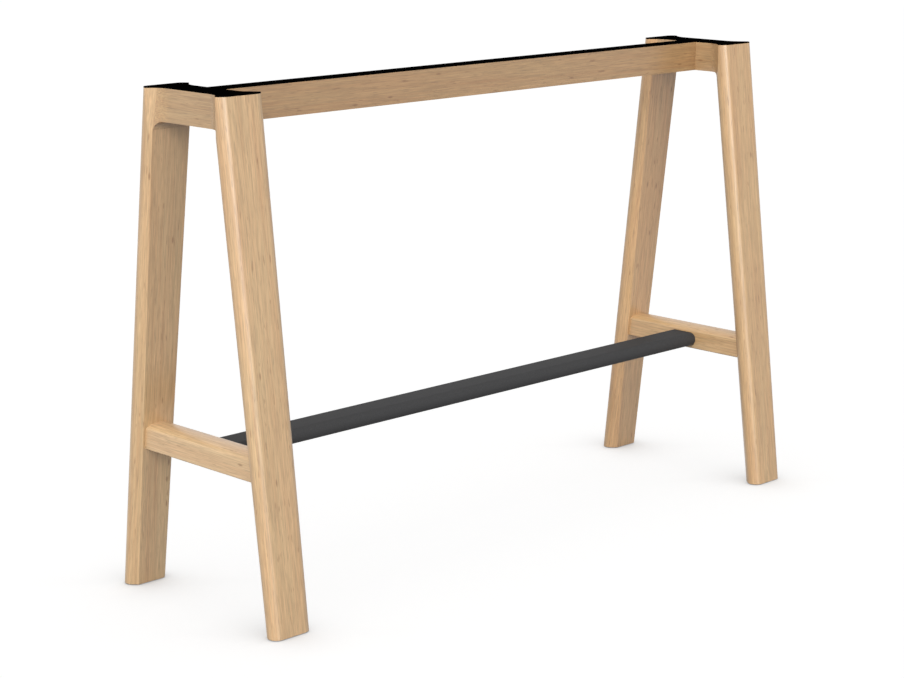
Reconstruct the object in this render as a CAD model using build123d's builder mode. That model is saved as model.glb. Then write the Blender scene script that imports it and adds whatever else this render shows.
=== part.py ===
import os
from math import atan, atan2, cos, degrees, radians, sin, tan

from build123d import *

os.makedirs("parts", exist_ok=True)

# A bar-height table frame without its tabletop. Two oak trestles, each of two raked legs, a cross rail
# at the head and a low stretcher, are joined by a top beam and by a flat-oval steel foot bar.
# The origin is on the floor at the centre, +X runs along the beam, +Y to the rear legs and +Z up.

# Overall
wood_top = 1058.0  # floor to the top of the oak
pad_thickness = 2.0  # black rubber layer that the tabletop rests on
trestle_spacing = 1511.0  # between the middle planes of the two trestles

# Legs: sizes of the horizontal section at the floor and at the head, straight in between
foot_outer_y = 254.0
head_outer_y = 127.0
foot_inner_y = 211.3
head_inner_y = 91.5
foot_inner_width = 67.0
head_inner_width = 94.0
leg_bevel_angle = 42.0  # of the side faces, from the Y axis
leg_corner_radius = 19.0

# Floor glides
glide_diameter = 24.0
glide_thickness = 4.0
glide_stand = 2.0  # how far the glide holds the leg off the floor
glide_spigot_width = 5.0  # square
glide_spigot_length = 12.0

# Cross rails
rail_width = 63.2
rail_height = 67.3
rail_under_cove = 16.0
cove_lip = 1.0  # thickness left at the thin end of the cove underneath

# Stretchers
stretcher_width = 64.2
stretcher_bottom = 303.3
stretcher_shoulder_height = 41.7  # flat part of the side
stretcher_crown = 12.0
stretcher_shoulder_radius = 5.5  # where the side turns into the crown
stretcher_lower_radius = 3.0

# Loose tenons that join rails and stretchers to the legs
head_tenon_thickness = 12.0
head_tenon_height = 44.0
foot_tenon_thickness = 12.0
foot_tenon_width = 44.0
tenon_depth = 22.0  # in each of the two pieces

# Top beam and its bolted joint with the cross rails
beam_width = 45.0
beam_height = 67.0
dowel_thickness = 8.0  # of the flat dowels
dowel_height = 24.0
dowel_spread = 27.0
dowel_in_rail = 16.0
dowel_in_beam = 24.0
stud_diameter = 8.0
stud_in_beam = 62.0
insert_diameter = 12.0
insert_length = 18.0
pocket_distance = 48.0  # from the end of the beam to the bearing wall of the pocket
pocket_length = 28.0
pocket_width = 26.0
pocket_corner_radius = 3.0
washer_size = 19.0
washer_thickness = 3.0
nut_across_flats = 13.0
nut_thickness = 6.5

# Foot bar
bar_width = 80.4
bar_height = 32.2
bar_wall = 2.0
bar_axis_height = 326.8
plug_length = 25.0
plug_screw_spread = 44.0
plug_screw_diameter = 5.0
plug_screw_length = 50.0
plug_screw_head_width = 8.0  # across the flats of the hexagon
plug_screw_head_height = 3.5

# Tabletop fixing holes, bored up through the cross rails
fixing_spread = 100.0
fixing_hole_diameter = 7.0
fixing_counterbore_diameter = 16.0
fixing_counterbore_depth = 40.0

# Clearances
tenon_end_gap = 1.0  # glue space past the end of a tenon, a dowel or a glide's spigot
thread_gap = 0.1
screw_gap = 0.5
washer_gap = 0.5
plug_gap = 0.25
glide_gap = 0.2

# Derived sizes
trestle_x = trestle_spacing / 2
rail_bottom = wood_top - rail_height
rail_inner_x = trestle_x - rail_width / 2
cove_tip = rail_bottom - rail_under_cove
stretcher_shoulder = stretcher_bottom + stretcher_shoulder_height
stretcher_inner_x = trestle_x - stretcher_width / 2
head_tenon_z = wood_top - rail_height / 2
foot_tenon_z = stretcher_bottom + stretcher_shoulder_height / 2
beam_joint_z = wood_top - beam_height / 2
glide_y = (foot_inner_y + foot_outer_y) / 2
rake = atan((foot_inner_y - head_inner_y) / wood_top)  # slope of the legs' inner faces

sides = {"left": -1, "right": 1}
ends = {"front": -1, "rear": 1}


def at_height(foot_value, head_value, z):
    """A size of the leg at height z; it changes evenly between the floor and the head."""
    return foot_value + (head_value - foot_value) * z / wood_top


def inner_y(z):
    return at_height(foot_inner_y, head_inner_y, z)


def outer_y(z):
    return at_height(foot_outer_y, head_outer_y, z)


def lengthwise_plane(x, end, y, z):
    """A plane across the Y axis, with its normal out towards the leg at that end."""
    return Plane(origin=(x, end * y, z), x_dir=(1, 0, 0), z_dir=(0, end, 0))


def crosswise_plane(side, x, z):
    """A plane across the X axis, with its normal out towards the trestle on that side."""
    return Plane(origin=(side * x, 0, z), x_dir=(0, 1, 0), z_dir=(side, 0, 0))


def side_plane(x):
    """The upright plane along Y and Z through a trestle, drawn with Y to the right and Z up."""
    return Plane(origin=(x, 0, 0), x_dir=(0, 1, 0), z_dir=(1, 0, 0))


def leg_face_plane(end):
    """The sloping plane of the inner faces of the legs at one end of the trestles."""
    return Plane(origin=(0, end * foot_inner_y, 0), x_dir=(1, 0, 0), z_dir=(0, end * cos(rake), sin(rake)))


def leg_edge_plane(x, end, hand, angle):
    """A plane through the edge of a leg's inner face, on its -X or +X hand, at an angle from the Y axis."""
    foot = Vector(x + hand * foot_inner_width / 2, end * foot_inner_y, 0)
    head = Vector(x + hand * head_inner_width / 2, end * head_inner_y, wood_top)
    outwards = Vector(hand * sin(angle), end * cos(angle), 0)
    return Plane(origin=foot, z_dir=outwards.cross(head - foot) * end * hand)


def cut_head_mortise(x, end):
    y = inner_y(head_tenon_z) - tenon_depth - tenon_end_gap
    with BuildSketch(lengthwise_plane(x, end, y, head_tenon_z)) as mortise:
        Rectangle(head_tenon_thickness, head_tenon_height)
    extrude(mortise.sketch, amount=2 * (tenon_depth + tenon_end_gap), mode=Mode.SUBTRACT)


def cut_foot_mortise(x, end):
    y = inner_y(foot_tenon_z) - tenon_depth - tenon_end_gap
    with BuildSketch(lengthwise_plane(x, end, y, foot_tenon_z)) as mortise:
        Rectangle(foot_tenon_width, foot_tenon_thickness)
    extrude(mortise.sketch, amount=2 * (tenon_depth + tenon_end_gap), mode=Mode.SUBTRACT)


# The rounding of the outer corners is limited by the shortest side face, at the head or the foot.
bevel = radians(leg_bevel_angle)
least_depth = min(head_outer_y - head_inner_y, foot_outer_y - foot_inner_y)
most_depth = max(head_outer_y - head_inner_y, foot_outer_y - foot_inner_y)
leg_corner = min(leg_corner_radius, 0.95 * least_depth / cos(bevel) * tan(radians(90 - leg_bevel_angle) / 2))
leg_reach = max(foot_inner_width, head_inner_width) / 2 + most_depth * tan(bevel)


# The side coves of the head, seen from above: each starts on the side of the cross rail, parallel to it,
# turns through the bevel angle, and ends where the cove underneath reaches the edge of the leg.
cove_end_x = at_height(foot_inner_width, head_inner_width, cove_tip) / 2
cove_end_y = inner_y(cove_tip)
side_cove_radius = (cove_end_x - rail_width / 2) / (1 - cos(bevel))
cove_start_y = cove_end_y - side_cove_radius * sin(bevel)


# Legs: a raked side profile, bevelled on both sides so that it widens from a flat inner face, with well
# rounded outer corners. The upright side coves cut across their edges at the head. Mortises take the
# tenons, and the foot is bored for its glide.
legs = {}
for side_name, side in sides.items():
    for end_name, end in ends.items():
        x = side * trestle_x
        with BuildPart() as leg:
            with BuildSketch(side_plane(x)):
                with BuildLine():
                    Polyline(
                        (end * inner_y(glide_stand), glide_stand),
                        (end * outer_y(glide_stand), glide_stand),
                        (end * head_outer_y, wood_top),
                        (end * head_inner_y, wood_top),
                        close=True,
                    )
                make_face()
            extrude(amount=leg_reach + 1, both=True)
            for hand in (-1, 1):
                split(bisect_by=leg_edge_plane(x, end, hand, bevel), keep=Keep.BOTTOM)
            long_edges = leg.edges().sort_by(SortBy.LENGTH)[-4:]
            fillet(long_edges.sort_by(lambda edge: end * edge.center().Y)[-2:], leg_corner)
            for hand in (-1, 1):
                start = (x + hand * rail_width / 2, end * cove_start_y)
                stop = (x + hand * cove_end_x, end * cove_end_y)
                beyond = (stop[0] + hand * leg_reach * sin(bevel), stop[1] + end * leg_reach * cos(bevel))
                with BuildSketch(Plane.XY.offset(cove_tip - rail_height)):
                    with BuildLine():
                        TangentArc(start, stop, tangent=(0, end))
                        Polyline(stop, beyond, (beyond[0], start[1]), start)
                    make_face()
                extrude(amount=3 * rail_height, mode=Mode.SUBTRACT)
            cut_head_mortise(x, end)
            cut_foot_mortise(x, end)
            with BuildSketch(Plane(origin=(x, end * glide_y, glide_stand))):
                Circle(glide_diameter / 2 + glide_gap)
            extrude(amount=glide_thickness - glide_stand, mode=Mode.SUBTRACT)
            with BuildSketch(Plane(origin=(x, end * glide_y, glide_thickness))):
                Rectangle(glide_spigot_width + 2 * glide_gap, glide_spigot_width + 2 * glide_gap)
            extrude(amount=glide_spigot_length + tenon_end_gap, mode=Mode.SUBTRACT)
        leg.part.label = f"leg_{end_name}_{side_name}"
        export_step(leg.part, f"parts/{leg.part.label}.step")
        legs[side_name, end_name] = leg.part


# Floor glides: a disc let halfway into the foot of each leg, on a square spigot
for side_name, side in sides.items():
    for end_name, end in ends.items():
        with BuildPart() as glide:
            with BuildSketch(Plane(origin=(side * trestle_x, end * glide_y, 0))):
                Circle(glide_diameter / 2)
            extrude(amount=glide_thickness)
            with BuildSketch(Plane(origin=(side * trestle_x, end * glide_y, glide_thickness))):
                Rectangle(glide_spigot_width, glide_spigot_width)
            extrude(amount=glide_spigot_length)
        glide.part.label = f"floor_glide_{end_name}_{side_name}"
        export_step(glide.part, f"parts/{glide.part.label}.step")


# Cross rails: an outline with a cove at each corner, as seen from above, trimmed to the slope of the legs
# and coved underneath. Each has two tabletop fixing holes, and a dowelled and bolted joint for the beam.
rails = {}
for side_name, side in sides.items():
    x = side * trestle_x
    with BuildPart() as rail:
        with BuildSketch(Plane(origin=(x, 0, cove_tip))):
            with BuildLine():
                Line((rail_width / 2, 0), (rail_width / 2, cove_start_y))
                TangentArc((rail_width / 2, cove_start_y), (cove_end_x, cove_end_y), tangent=(0, 1))
                Line((cove_end_x, cove_end_y), (0, cove_end_y))
                mirror(about=Plane.YZ)
                mirror(about=Plane.XZ)
            make_face()
        extrude(amount=wood_top - cove_tip)
        for end in ends.values():
            split(bisect_by=leg_face_plane(end), keep=Keep.BOTTOM)
        tip_y = inner_y(cove_tip) - cove_lip
        under_y = tip_y - rail_under_cove
        with BuildSketch(side_plane(x)):
            with BuildLine():
                Line((0, rail_bottom), (under_y, rail_bottom))
                CenterArc((under_y, cove_tip), rail_under_cove, start_angle=0, arc_size=90)
                Polyline((tip_y, cove_tip), (tip_y, cove_tip - 1), (0, cove_tip - 1))
                mirror(about=Plane.YZ)
            make_face()
        extrude(amount=head_inner_width, both=True, mode=Mode.SUBTRACT)
        for end in ends.values():
            cut_head_mortise(x, end)
            with Locations(Plane(origin=(x, end * fixing_spread / 2, rail_bottom), z_dir=(0, 0, -1))):
                CounterBoreHole(
                    fixing_hole_diameter / 2, fixing_counterbore_diameter / 2, fixing_counterbore_depth
                )
        with BuildSketch(crosswise_plane(side, rail_inner_x, beam_joint_z)):
            with GridLocations(dowel_spread, 0, 2, 1):
                Rectangle(dowel_thickness, dowel_height)
        extrude(amount=dowel_in_rail + tenon_end_gap, mode=Mode.SUBTRACT)
        with BuildSketch(crosswise_plane(side, rail_inner_x, beam_joint_z)):
            Circle(insert_diameter / 2 + thread_gap)
        extrude(amount=insert_length, mode=Mode.SUBTRACT)
    rail.part.label = f"cross_rail_{side_name}"
    export_step(rail.part, f"parts/{rail.part.label}.step")
    rails[side_name] = rail.part


# Stretchers: straight bars cut to the slope of the legs at both ends. The crowned top is a basket-handle
# arch: a wide middle arc, whose centre lies crown_drop below the shoulders, between two small side arcs.
half = stretcher_width / 2
crown_side = half - stretcher_shoulder_radius
crown_rise = stretcher_crown - stretcher_shoulder_radius
crown_drop = (crown_side**2 - crown_rise**2) / (2 * crown_rise)
crown_angle = degrees(atan2(crown_drop, crown_side))
for side_name, side in sides.items():
    x = side * trestle_x
    with BuildPart() as stretcher:
        with BuildSketch(Plane(origin=(x, 0, 0), x_dir=(1, 0, 0), z_dir=(0, -1, 0))) as section:
            with BuildLine():
                Polyline(
                    (-half, stretcher_shoulder),
                    (-half, stretcher_bottom),
                    (half, stretcher_bottom),
                    (half, stretcher_shoulder),
                )
                for hand, start in ((1, 0), (-1, 180 - crown_angle)):
                    CenterArc(
                        (hand * crown_side, stretcher_shoulder), stretcher_shoulder_radius, start, crown_angle
                    )
                CenterArc(
                    (0, stretcher_shoulder - crown_drop),
                    stretcher_crown + crown_drop,
                    crown_angle,
                    180 - 2 * crown_angle,
                )
            make_face()
            fillet(section.vertices().group_by(Axis.Y)[0], stretcher_lower_radius)
        extrude(amount=foot_inner_y, both=True)
        for end in ends.values():
            split(bisect_by=leg_face_plane(end), keep=Keep.BOTTOM)
        for end in ends.values():
            cut_foot_mortise(x, end)
        with BuildSketch(crosswise_plane(side, stretcher_inner_x, bar_axis_height)):
            with GridLocations(plug_screw_spread, 0, 2, 1):
                Circle(plug_screw_diameter / 2 + thread_gap)
        extrude(amount=plug_screw_length - plug_length, mode=Mode.SUBTRACT)
    stretcher.part.label = f"stretcher_{side_name}"
    export_step(stretcher.part, f"parts/{stretcher.part.label}.step")


# Loose tenons: square slips of hardwood, half in the leg and half in the rail or stretcher
for side_name, side in sides.items():
    for end_name, end in ends.items():
        x = side * trestle_x
        with BuildPart() as head_tenon:
            y = inner_y(head_tenon_z) - tenon_depth
            with BuildSketch(lengthwise_plane(x, end, y, head_tenon_z)):
                Rectangle(head_tenon_thickness, head_tenon_height)
            extrude(amount=2 * tenon_depth)
        head_tenon.part.label = f"head_tenon_{end_name}_{side_name}"
        export_step(head_tenon.part, f"parts/{head_tenon.part.label}.step")
        with BuildPart() as foot_tenon:
            y = inner_y(foot_tenon_z) - tenon_depth
            with BuildSketch(lengthwise_plane(x, end, y, foot_tenon_z)):
                Rectangle(foot_tenon_width, foot_tenon_thickness)
            extrude(amount=2 * tenon_depth)
        foot_tenon.part.label = f"stretcher_tenon_{end_name}_{side_name}"
        export_step(foot_tenon.part, f"parts/{foot_tenon.part.label}.step")


# Top beam: cut at both ends for two flat dowels and a stud between them, with a pocket underneath for
# washer and nut
with BuildPart() as beam:
    with BuildSketch(Plane.XY.offset(wood_top - beam_height)):
        Rectangle(2 * rail_inner_x, beam_width)
    extrude(amount=beam_height)
    for side in sides.values():
        with BuildSketch(crosswise_plane(side, rail_inner_x, beam_joint_z)):
            with GridLocations(dowel_spread, 0, 2, 1):
                Rectangle(dowel_thickness, dowel_height)
        extrude(amount=-dowel_in_beam - tenon_end_gap, mode=Mode.SUBTRACT)
        with BuildSketch(crosswise_plane(side, rail_inner_x, beam_joint_z)):
            Circle(stud_diameter / 2 + screw_gap)
        extrude(amount=-pocket_distance, mode=Mode.SUBTRACT)
        pocket_x = side * (rail_inner_x - pocket_distance - pocket_length / 2)
        pocket_height = beam_height / 2 + washer_size / 2 + screw_gap
        with BuildSketch(Plane(origin=(pocket_x, 0, wood_top - beam_height))):
            RectangleRounded(pocket_length, pocket_width, pocket_corner_radius)
        extrude(amount=pocket_height, mode=Mode.SUBTRACT)
beam.part.label = "top_beam"
export_step(beam.part, "parts/top_beam.step")


# Each beam joint: two flat dowels, a threaded insert in the rail, a stud, a washer and a nut
for side_name, side in sides.items():
    with BuildPart() as dowels:
        with BuildSketch(crosswise_plane(side, rail_inner_x - dowel_in_beam, beam_joint_z)):
            with GridLocations(dowel_spread, 0, 2, 1):
                Rectangle(dowel_thickness, dowel_height)
        extrude(amount=dowel_in_beam + dowel_in_rail)
    dowels.part.label = f"beam_dowels_{side_name}"
    export_step(dowels.part, f"parts/{dowels.part.label}.step")

    with BuildPart() as insert:
        with BuildSketch(crosswise_plane(side, rail_inner_x, beam_joint_z)):
            Circle(insert_diameter / 2)
            Circle(stud_diameter / 2 + thread_gap, mode=Mode.SUBTRACT)
        extrude(amount=insert_length)
    insert.part.label = f"beam_insert_{side_name}"
    export_step(insert.part, f"parts/{insert.part.label}.step")

    with BuildPart() as stud:
        with BuildSketch(crosswise_plane(side, rail_inner_x - stud_in_beam, beam_joint_z)):
            Circle(stud_diameter / 2)
        extrude(amount=stud_in_beam + insert_length)
    stud.part.label = f"beam_stud_{side_name}"
    export_step(stud.part, f"parts/{stud.part.label}.step")

    with BuildPart() as washer:
        with BuildSketch(crosswise_plane(side, rail_inner_x - pocket_distance, beam_joint_z)):
            Rectangle(washer_size, washer_size)
            Circle(stud_diameter / 2 + washer_gap, mode=Mode.SUBTRACT)
        extrude(amount=-washer_thickness)
    washer.part.label = f"beam_washer_{side_name}"
    export_step(washer.part, f"parts/{washer.part.label}.step")

    with BuildPart() as nut:
        nut_x = rail_inner_x - pocket_distance - washer_thickness
        with BuildSketch(crosswise_plane(side, nut_x, beam_joint_z)):
            RegularPolygon(nut_across_flats / 2, 6, major_radius=False)
            Circle(stud_diameter / 2 + thread_gap, mode=Mode.SUBTRACT)
        extrude(amount=-nut_thickness)
    nut.part.label = f"beam_nut_{side_name}"
    export_step(nut.part, f"parts/{nut.part.label}.step")


# Foot bar: flat-oval steel tube between the stretchers
with BuildPart() as bar:
    with BuildSketch(crosswise_plane(1, -stretcher_inner_x, bar_axis_height)):
        SlotOverall(bar_width, bar_height)
        SlotOverall(bar_width - 2 * bar_wall, bar_height - 2 * bar_wall, mode=Mode.SUBTRACT)
    extrude(amount=2 * stretcher_inner_x)
bar.part.label = "foot_bar"
export_step(bar.part, "parts/foot_bar.step")


# Ends of the foot bar: a plug inside the tube, on the stretcher's inner face, held by two screws
for side_name, side in sides.items():
    with BuildPart() as plug:
        with BuildSketch(crosswise_plane(side, stretcher_inner_x - plug_length, bar_axis_height)):
            SlotOverall(bar_width - 2 * (bar_wall + plug_gap), bar_height - 2 * (bar_wall + plug_gap))
            with GridLocations(plug_screw_spread, 0, 2, 1):
                Circle(plug_screw_diameter / 2 + screw_gap, mode=Mode.SUBTRACT)
        extrude(amount=plug_length)
    plug.part.label = f"bar_plug_{side_name}"
    export_step(plug.part, f"parts/{plug.part.label}.step")

    with BuildPart() as screws:
        with BuildSketch(crosswise_plane(side, stretcher_inner_x - plug_length, bar_axis_height)):
            with GridLocations(plug_screw_spread, 0, 2, 1):
                Circle(plug_screw_diameter / 2)
        extrude(amount=plug_screw_length)
        with BuildSketch(crosswise_plane(side, stretcher_inner_x - plug_length, bar_axis_height)):
            with GridLocations(plug_screw_spread, 0, 2, 1):
                RegularPolygon(plug_screw_head_width / 2, 6, major_radius=False)
        extrude(amount=-plug_screw_head_height)
    screws.part.label = f"plug_screws_{side_name}"
    export_step(screws.part, f"parts/{screws.part.label}.step")


# Rubber layer on top, with the outline of the wood that it covers
for side_name in sides:
    with BuildPart() as pad:
        for wood in (rails[side_name], legs[side_name, "front"], legs[side_name, "rear"]):
            extrude(wood.faces().sort_by(Axis.Z)[-1], amount=pad_thickness, dir=(0, 0, 1))
    pad.part.label = f"top_pad_{side_name}"
    export_step(pad.part, f"parts/{pad.part.label}.step")

with BuildPart() as beam_pad:
    extrude(beam.part.faces().sort_by(Axis.Z)[-1], amount=pad_thickness, dir=(0, 0, 1))
beam_pad.part.label = "top_pad_beam"
export_step(beam_pad.part, "parts/top_pad_beam.step")
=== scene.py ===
import math

import bpy
import numpy as np
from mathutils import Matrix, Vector


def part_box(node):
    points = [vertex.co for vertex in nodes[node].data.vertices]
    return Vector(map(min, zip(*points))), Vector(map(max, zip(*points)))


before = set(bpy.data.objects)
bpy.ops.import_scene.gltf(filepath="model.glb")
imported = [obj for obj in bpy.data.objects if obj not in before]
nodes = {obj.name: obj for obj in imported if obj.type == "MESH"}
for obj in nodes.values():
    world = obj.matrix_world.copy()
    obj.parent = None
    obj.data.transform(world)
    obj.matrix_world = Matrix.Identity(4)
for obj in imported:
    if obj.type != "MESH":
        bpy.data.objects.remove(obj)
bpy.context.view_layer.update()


# Legs. Each is one straight board of pale white oak, planed, bevelled and finished with a matt oil, and it
# stands raked, front to back only. The grain runs down the leg, so each leg turns the wood's pattern to its
# own slope and takes it from a different place in the plank.
def linear(colour):
    """An sRGB hex colour as linear RGBA. Each channel c is (c + 0.055) / 1.055 to the power 2.4, or c / 12.92 if
    it is dark."""
    c = np.array([int(colour[i : i + 2], 16) for i in (1, 3, 5)]) / 255
    c = np.where(c <= 0.04045, c / 12.92, ((c + 0.055) / 1.055) ** 2.4)
    return (*c, 1.0)


def add(tree, kind, inputs=None, stops=(), **settings):
    """Adds one node with its settings. An input is given by name or number, as a value or as the socket that feeds
    it, and stops are the positions and linear colours of a colour ramp."""
    node = tree.nodes.new(kind)
    for name, value in settings.items():
        setattr(node, name, value)
    for key, value in (inputs or {}).items():
        if isinstance(value, bpy.types.NodeSocket):
            tree.links.new(value, node.inputs[key])
        else:
            node.inputs[key].default_value = value
    for place, (position, colour) in enumerate(stops):
        if place == len(node.color_ramp.elements):
            node.color_ramp.elements.new(position)
        node.color_ramp.elements[place].position = position
        node.color_ramp.elements[place].color = colour
    return node


def empty_material(name):
    """A new material with no nodes yet, and its node tree."""
    material = bpy.data.materials.new(name)
    material.use_nodes = True
    material.node_tree.nodes.clear()
    return material, material.node_tree


def oiled_oak(name, centre, turn, plank, tone):
    """White oak, quarter to rift sawn, planed and finished with a matt oil. The eye gets straight fine grain in
    close honey tones, a slow drift from straw to rose, short dark pore lines, a few brown streaks and pin knots,
    and a soft waxy sheen. centre and turn are the board's own middle and slope, plank is the place in the plank
    that its pattern comes from, and tone is its share of red, green and blue, because no two boards are alike."""
    material, tree = empty_material(name)
    place = add(tree, "ShaderNodeTexCoord").outputs["Object"]
    board = add(
        tree, "ShaderNodeMapping", {"Vector": place, "Location": centre, "Rotation": turn}, vector_type="TEXTURE"
    ).outputs[0]

    def shade(colour):
        """A linear colour, made lighter or darker by the tone of the board."""
        return (*[c * t for c, t in zip(linear(colour), tone)], 1.0)

    # Noise drawn out along the grain: width and length of its cells in mm, where it starts, and its detail. The real
    # fibres are under 0.5 mm wide and oak's pores 0.3 mm, and they are drawn 2 mm and 1.5 mm wide so that they show.
    patterns = {
        "rings": (6.5, 330.0, 0.0, 3.0),
        "fibres": (2.0, 60.0, 3.1, 3.0),
        "pores": (1.5, 30.0, 7.7, 1.0),
        "drift": (46.0, 380.0, 1.3, 1.0),
        "streaks": (4.0, 34.0, 12.9, 1.0),
    }
    grain = {}
    for pattern, (across_mm, length_mm, shift, detail) in patterns.items():
        cells = add(
            tree,
            "ShaderNodeMapping",
            {
                "Vector": board,
                "Location": (plank + shift, plank * 1.7 - shift, plank * 0.6),
                "Scale": (1000 / across_mm, 1000 / across_mm, 1000 / length_mm),
            },
        )
        noise = {"Vector": cells.outputs[0], "Scale": 1.0, "Detail": detail, "Roughness": 0.55}
        grain[pattern] = add(tree, "ShaderNodeTexNoise", noise).outputs[0]
    # Pin knots are 2 to 5 mm across. Each sits somewhere in a cell 26 mm wide and 91 mm long.
    knot_cells = {"Vector": board, "Location": (plank, plank, 0), "Scale": (38, 38, 11)}
    cells = add(tree, "ShaderNodeMapping", knot_cells).outputs[0]
    grain["knots"] = add(tree, "ShaderNodeTexVoronoi", {"Vector": cells, "Scale": 1.0}).outputs["Distance"]

    # What the patterns do: from low to high in the pattern, the share of the colour that is left goes from at_low to
    # at_high. The oil lies thinner on the dark fibres, so there the roughness is higher.
    effects = {
        "fibre lines": ("fibres", 0.34, 0.66, 0.82, 1.14),
        "pore lines": ("pores", 0.28, 0.42, 0.76, 1.0),
        "streaks": ("streaks", 0.24, 0.31, 0.3, 1.0),
        "knots": ("knots", 0.04, 0.11, 0.15, 1.0),
        "roughness": ("fibres", 0.3, 0.7, 0.39, 0.31),
    }
    share = {}
    for effect, (pattern, low, high, at_low, at_high) in effects.items():
        inputs = {"Value": grain[pattern], "From Min": low, "From Max": high, "To Min": at_low, "To Max": at_high}
        share[effect] = add(tree, "ShaderNodeMapRange", inputs).outputs[0]
    lines = {0: share["fibre lines"], 1: share["pore lines"]}
    lines = add(tree, "ShaderNodeMath", lines, operation="MULTIPLY").outputs[0]
    clear = {0: share["streaks"], 1: share["knots"]}
    clear = add(tree, "ShaderNodeMath", clear, operation="MULTIPLY").outputs[0]

    honey = [(0.3, shade("#C5A17A")), (0.45, shade("#CAA982")), (0.58, shade("#CEAF88")), (0.74, shade("#D4B58D"))]
    wood = add(tree, "ShaderNodeValToRGB", {0: grain["rings"]}, honey).outputs[0]
    rose = [(0.34, linear("#FFFAF6")), (0.66, linear("#FEFEFB"))]
    rose = add(tree, "ShaderNodeValToRGB", {0: grain["drift"]}, rose).outputs[0]
    tinted = {0: 1.0, 6: wood, 7: rose}
    tinted = add(tree, "ShaderNodeMix", tinted, data_type="RGBA", blend_type="MULTIPLY").outputs[2]
    grained = add(tree, "ShaderNodeVectorMath", {0: tinted, "Scale": lines}, operation="SCALE").outputs[0]
    brown = shade("#96704B")
    colour = add(tree, "ShaderNodeMix", {0: clear, 6: brown, 7: grained}, data_type="RGBA").outputs[2]
    bump = add(tree, "ShaderNodeBump", {"Strength": 0.12, "Distance": 0.0005, "Height": lines}).outputs[0]
    oil = {"Roughness": share["roughness"], "IOR": 1.5, "Specular IOR Level": 1.0}
    shader = add(tree, "ShaderNodeBsdfPrincipled", {"Base Color": colour, "Normal": bump, **oil})
    add(tree, "ShaderNodeOutputMaterial", {0: shader.outputs[0]})
    return material


def dress(name, material):
    """Gives a CAD node this material in place of the plain one that it came with."""
    slots = nodes[name].data.materials
    slots.clear()
    slots.append(material)


def dress_board(name, turn, plank, tone):
    """Gives a wooden CAD node its own oak, centred on the board."""
    low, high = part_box(name)
    dress(name, oiled_oak(f"oiled_white_oak_{name}", (low + high) / 2, turn, plank, tone))


# The rake is the slope of a leg's middle line. Each leg has its rake, its place in the plank and its tone.
leg_rake = math.radians(6.65)
legs = {
    "leg_front_left": (-leg_rake, 4.0, (0.89, 0.865, 0.81)),
    "leg_rear_left": (leg_rake, 15.3, (0.865, 0.84, 0.78)),
    "leg_front_right": (-leg_rake, 26.6, (0.83, 0.775, 0.68)),
    "leg_rear_right": (leg_rake, 37.9, (0.87, 0.79, 0.69)),
}
for name, (rake, plank, tone) in legs.items():
    dress_board(name, (rake, 0, 0), plank, tone)


# Floor glides: black nylon discs, injection moulded, let into the feet so that a thin dark line shows under
# each leg. Nylon is slightly waxy, with a faint mottle from the mould.
black_nylon, tree = empty_material("moulded_black_nylon")
mottle_per_metre = 900.0  # 1.1 mm from one fleck to the next
place = add(tree, "ShaderNodeTexCoord").outputs["Object"]
mottle = add(tree, "ShaderNodeTexNoise", {"Vector": place, "Scale": mottle_per_metre, "Detail": 2.0}).outputs[0]
tint = add(tree, "ShaderNodeValToRGB", {0: mottle}, [(0.3, linear("#191919")), (0.7, linear("#202020"))]).outputs[0]
bump = add(tree, "ShaderNodeBump", {"Strength": 0.1, "Distance": 0.0002, "Height": mottle}).outputs[0]
shader = add(tree, "ShaderNodeBsdfPrincipled", {"Base Color": tint, "Roughness": 0.5, "IOR": 1.53, "Normal": bump})
add(tree, "ShaderNodeOutputMaterial", {0: shader.outputs[0]})
for side in ("left", "right"):
    for end in ("front", "rear"):
        dress(f"floor_glide_{end}_{side}", black_nylon)


# Cross rails: oak blocks between the heads of each pair of legs, with coves cut round their ends, held by
# loose tenons. Their grain runs level, from leg to leg.
level_to_rear = (math.radians(90), 0, 0)
dress_board("cross_rail_left", level_to_rear, 51.0, (0.706, 0.66, 0.586))
dress_board("cross_rail_right", level_to_rear, 58.1, (0.706, 0.66, 0.586))


# Top beam: one long oak rail between the cross rails, with its grain along it. Flat dowels place each end
# and a stud draws it tight.
dress_board("top_beam", (0, math.radians(90), 0), 77.0, (0.612, 0.536, 0.43))


# Stretchers: oak bars with a crowned top, low between the legs of each trestle, with level grain. They are
# held by loose tenons as the cross rails are.
dress_board("stretcher_left", level_to_rear, 91.0, (0.99, 0.98, 0.945))
dress_board("stretcher_right", level_to_rear, 100.4, (0.88, 0.835, 0.73))


# Foot bar: flat-oval steel tube that slips over a plug on each stretcher. Its anthracite powder coat gives a
# fine even orange peel and an almost matt surface.
powder_coat, tree = empty_material("powder_coated_steel_anthracite")
peel_per_metre = 400.0  # the real peel is about 1 mm from crest to crest, drawn at 2.5 mm so that it shows
place = add(tree, "ShaderNodeTexCoord").outputs["Object"]
peel = {"Vector": place, "Scale": peel_per_metre, "Detail": 2.0, "Roughness": 0.5}
peel = add(tree, "ShaderNodeTexNoise", peel).outputs[0]
tint = add(tree, "ShaderNodeValToRGB", {0: peel}, [(0.3, linear("#4E4E4F")), (0.7, linear("#555556"))]).outputs[0]
bump = add(tree, "ShaderNodeBump", {"Strength": 0.08, "Distance": 0.0002, "Height": peel}).outputs[0]
coat = {"Roughness": 0.55, "IOR": 1.5, "Specular IOR Level": 0.02}
shader = add(tree, "ShaderNodeBsdfPrincipled", {"Base Color": tint, "Normal": bump, **coat})
add(tree, "ShaderNodeOutputMaterial", {0: shader.outputs[0]})
dress("foot_bar", powder_coat)


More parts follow.
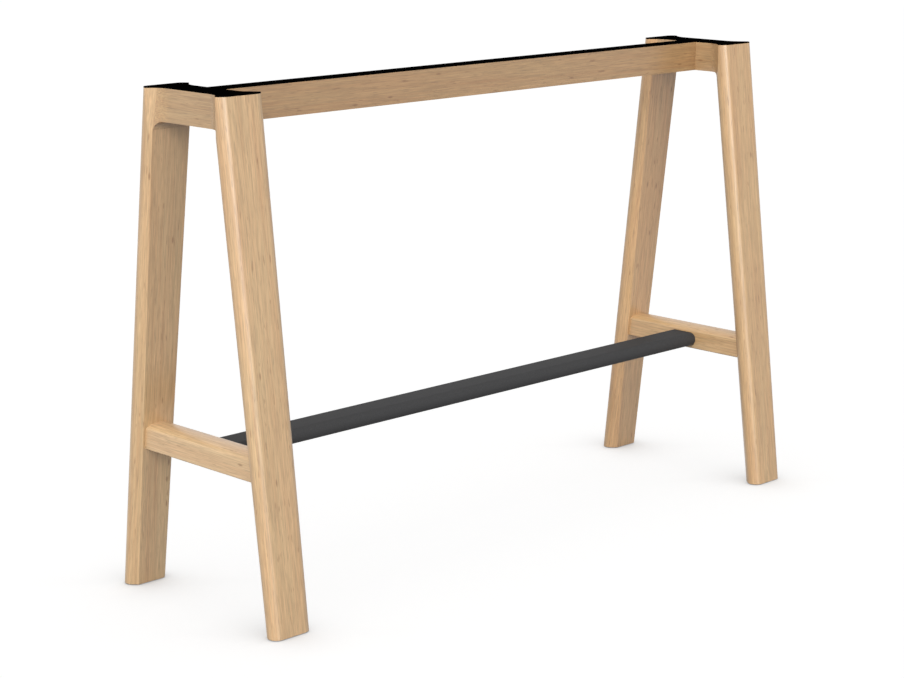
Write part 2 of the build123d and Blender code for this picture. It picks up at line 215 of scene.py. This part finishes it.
# Black layer on top: sheet rubber, cut to the outline of the wood and glued on so that a tabletop grips it.
# It is dead matt with a fine ground surface.
sheet_rubber, tree = empty_material("sheet_rubber_black")
grit_per_metre = 700.0  # 1.4 mm from grain to grain
place = add(tree, "ShaderNodeTexCoord").outputs["Object"]
grit = add(tree, "ShaderNodeTexNoise", {"Vector": place, "Scale": grit_per_metre, "Detail": 3.0}).outputs[0]
tint = add(tree, "ShaderNodeValToRGB", {0: grit}, [(0.3, linear("#010101")), (0.7, linear("#040404"))]).outputs[0]
ground = {"Roughness": 0.95, "IOR": 1.5, "Specular IOR Level": 0.0}
shader = add(tree, "ShaderNodeBsdfPrincipled", {"Base Color": tint, **ground})
add(tree, "ShaderNodeOutputMaterial", {0: shader.outputs[0]})
for name in ("top_pad_left", "top_pad_right", "top_pad_beam"):
    dress(name, sheet_rubber)


# Hidden joinery: beech tenons and flat dowels, zinc-plated steel studs, nuts, washers and screws, steel plugs in
# the foot bar and brass inserts. Nothing of it shows when the frame is together.
beech, tree = empty_material("planed_beech")
flecks_per_metre = 500.0  # beech's flecks are about 2 mm long
place = add(tree, "ShaderNodeTexCoord").outputs["Object"]
flecks = add(tree, "ShaderNodeTexNoise", {"Vector": place, "Scale": flecks_per_metre, "Detail": 2.0}).outputs[0]
tint = add(tree, "ShaderNodeValToRGB", {0: flecks}, [(0.35, linear("#C99F73")), (0.65, linear("#D8B286"))]).outputs[0]
shader = add(tree, "ShaderNodeBsdfPrincipled", {"Base Color": tint, "Roughness": 0.6, "IOR": 1.5})
add(tree, "ShaderNodeOutputMaterial", {0: shader.outputs[0]})

zinc, tree = empty_material("zinc_plated_steel")
spangle_per_metre = 350.0  # 3 mm from one bright patch to the next
place = add(tree, "ShaderNodeTexCoord").outputs["Object"]
spangle = add(tree, "ShaderNodeTexNoise", {"Vector": place, "Scale": spangle_per_metre, "Detail": 3.0}).outputs[0]
tint = add(tree, "ShaderNodeValToRGB", {0: spangle}, [(0.3, linear("#B8BCC2")), (0.7, linear("#D2D5D9"))]).outputs[0]
shader = add(tree, "ShaderNodeBsdfPrincipled", {"Base Color": tint, "Roughness": 0.35, "Metallic": 1.0})
add(tree, "ShaderNodeOutputMaterial", {0: shader.outputs[0]})

brass, tree = empty_material("turned_brass")
turning_per_metre = 800.0  # 1.25 mm from one tool mark to the next
place = add(tree, "ShaderNodeTexCoord").outputs["Object"]
turning = add(tree, "ShaderNodeTexNoise", {"Vector": place, "Scale": turning_per_metre, "Detail": 2.0}).outputs[0]
tint = add(tree, "ShaderNodeValToRGB", {0: turning}, [(0.3, linear("#C9A55A")), (0.7, linear("#D9B76C"))]).outputs[0]
shader = add(tree, "ShaderNodeBsdfPrincipled", {"Base Color": tint, "Roughness": 0.3, "Metallic": 1.0})
add(tree, "ShaderNodeOutputMaterial", {0: shader.outputs[0]})

for side in ("left", "right"):
    for end in ("front", "rear"):
        dress(f"head_tenon_{end}_{side}", beech)
        dress(f"stretcher_tenon_{end}_{side}", beech)
    dress(f"beam_dowels_{side}", beech)
    for name in ("beam_stud", "beam_washer", "beam_nut", "plug_screws"):
        dress(f"{name}_{side}", zinc)
    dress(f"beam_insert_{side}", brass)
    dress(f"bar_plug_{side}", powder_coat)


# Studio: a wide white paper floor under a white world, seen as plain white, with only the soft shadows round the
# feet: real ones from the room's light, deepened by a painted shadow in the paper's glow.
floor_half = 30.0
corners = np.array([(-1, -1, 0), (1, -1, 0), (1, 1, 0), (-1, 1, 0)], float) * (floor_half, floor_half, 1)
floor_mesh = bpy.data.meshes.new("studio_floor")
floor_mesh.from_pydata(corners.tolist(), [], [(0, 1, 2, 3)])
floor = bpy.data.objects.new("studio_floor", floor_mesh)
bpy.context.scene.collection.objects.link(floor)


def seen(tree):
    """1 for what the camera, a reflection or glass sees, and 0 for light on its way to the frame: the largest of
    the three kinds of ray."""
    ray = add(tree, "ShaderNodeLightPath").outputs
    direct = {0: ray["Is Camera Ray"], 1: ray["Is Glossy Ray"]}
    direct = add(tree, "ShaderNodeMath", direct, operation="MAXIMUM").outputs[0]
    through = {0: direct, 1: ray["Is Transmission Ray"]}
    return add(tree, "ShaderNodeMath", through, operation="MAXIMUM").outputs[0]


# Seen, the paper glows as white as its open share, which falls close to the feet, so a painted contact shadow lies
# over the real one. As a reflector, the paper is painted dark near the frame and lighter further off: painted shade,
# so that the paper near the frame throws little light back at it and the paper further off more.
shadow_reach = 0.28
near_reach, far_reach = 0.8, 4.0
paper, tree = empty_material("matt_white_backdrop_paper")
lit = add(tree, "ShaderNodeBsdfDiffuse", {"Color": linear("#BCBCBC")})
# Painted shadow: the open share also sets the strength of the paper's glow, so the glow is darker close to the feet.
open_share = add(tree, "ShaderNodeAmbientOcclusion", {"Distance": shadow_reach}).outputs["AO"]
painted_shadow_glow = {"Value": open_share, "From Min": 0.0, "From Max": 0.94, "To Min": 0.15, "To Max": 0.745}
painted_shadow_glow = add(tree, "ShaderNodeMapRange", painted_shadow_glow).outputs[0]
painted_shadow_glow = add(tree, "ShaderNodeEmission", {"Color": (1, 1, 1, 1), "Strength": painted_shadow_glow})
white_paper = add(tree, "ShaderNodeAddShader", {0: lit.outputs[0], 1: painted_shadow_glow.outputs[0]})
# Painted shade: for light bouncing off it, the paper is coloured dark near the frame and lighter further off, so the
# frame's undersides get little light from below.
place = add(tree, "ShaderNodeTexCoord").outputs["Object"]
distance = add(tree, "ShaderNodeVectorMath", {0: place}, operation="LENGTH").outputs["Value"]
away = {"Value": distance, "From Min": near_reach, "From Max": far_reach}
away = add(tree, "ShaderNodeMapRange", away).outputs[0]
tint = add(tree, "ShaderNodeValToRGB", {0: away}, [(0.0, linear("#303030")), (1.0, linear("#D0D0D0"))]).outputs[0]
painted_shade_reflector = add(tree, "ShaderNodeBsdfDiffuse", {"Color": tint})
surface = {0: seen(tree), 1: painted_shade_reflector.outputs[0], 2: white_paper.outputs[0]}
surface = add(tree, "ShaderNodeMixShader", surface)
add(tree, "ShaderNodeOutputMaterial", {0: surface.outputs[0]})
floor_mesh.materials.append(paper)

room_light = 0.55
world = bpy.data.worlds.new("white_studio")
bpy.context.scene.world = world
world.use_nodes = True
tree = world.node_tree
tree.nodes.clear()
ambient = add(tree, "ShaderNodeBackground", {"Color": (1, 1, 1, 1), "Strength": room_light})
white = add(tree, "ShaderNodeBackground", {"Color": (1, 1, 1, 1), "Strength": 1.0})
sky = add(tree, "ShaderNodeMixShader", {0: seen(tree), 1: ambient.outputs[0], 2: white.outputs[0]})
add(tree, "ShaderNodeOutputWorld", {0: sky.outputs[0]})


def far_softbox(name, azimuth, elevation, width, irradiance, unlit):
    """A large softbox so far off that its light is the same everywhere, drawn as a sun lamp. Its angles are in
    degrees: azimuth from +X towards +Y and elevation above the floor, on its way from the frame to the lamp. The
    unlit objects get none of it."""
    lamp = bpy.data.lights.new(name, "SUN")
    lamp.angle = math.radians(width)
    lamp.energy = irradiance
    box = bpy.data.objects.new(name, lamp)
    a, e = math.radians(azimuth), math.radians(elevation)
    beam = Vector((math.cos(a) * math.cos(e), math.sin(a) * math.cos(e), math.sin(e)))
    box.rotation_euler = beam.to_track_quat("Z", "Y").to_euler()
    dark = bpy.data.collections.new(f"not_lit_by_{name}")
    for place, thing in enumerate(unlit):
        dark.objects.link(thing)
        dark.collection_objects[place].light_linking.link_state = "EXCLUDE"
    box.light_linking.receiver_collection = dark
    bpy.context.scene.collection.objects.link(box)


# The softboxes light the frame alone. The floor has only the light of the white room, so the feet leave soft contact
# shadows on it and no long ones, and the painted shadow in its glow deepens them. The key softbox spares the foot
# bar, whose top would be too light.
far_softbox("key_softbox", azimuth=206, elevation=33, width=40, irradiance=2.65, unlit=[floor, nodes["foot_bar"]])
far_softbox("front_softbox", azimuth=256, elevation=8, width=38, irradiance=1.45, unlit=[floor])


# Camera: a long lens half a metre above the frame's top, looking down on it past the left trestle. The lens and
# its shift are in pixels of the photograph, whose optical axis isn't at its middle.
photo_width, photo_height = 904, 678
focal_length = 2213.75
axis_across, axis_down = 471.06, 285.85
camera = bpy.data.cameras.new("camera")
camera.sensor_width = 36.0
camera.lens = focal_length * camera.sensor_width / photo_width
camera.shift_x = (photo_width / 2 - axis_across) / photo_width
camera.shift_y = (axis_down - photo_height / 2) / photo_width
camera.clip_start = 0.1
camera.clip_end = 200.0
eye = bpy.data.objects.new("camera", camera)
turn, dip = math.radians(-44.75), math.radians(11.50)
ahead = Vector((-math.sin(turn) * math.cos(dip), math.cos(turn) * math.cos(dip), -math.sin(dip)))
eye.location = (-3.4152, -3.4300, 1.5449)
eye.rotation_mode = "QUATERNION"
eye.rotation_quaternion = ahead.to_track_quat("-Z", "Y")
bpy.context.scene.collection.objects.link(eye)
bpy.context.scene.camera = eye
bpy.context.scene.view_settings.view_transform = "Standard"
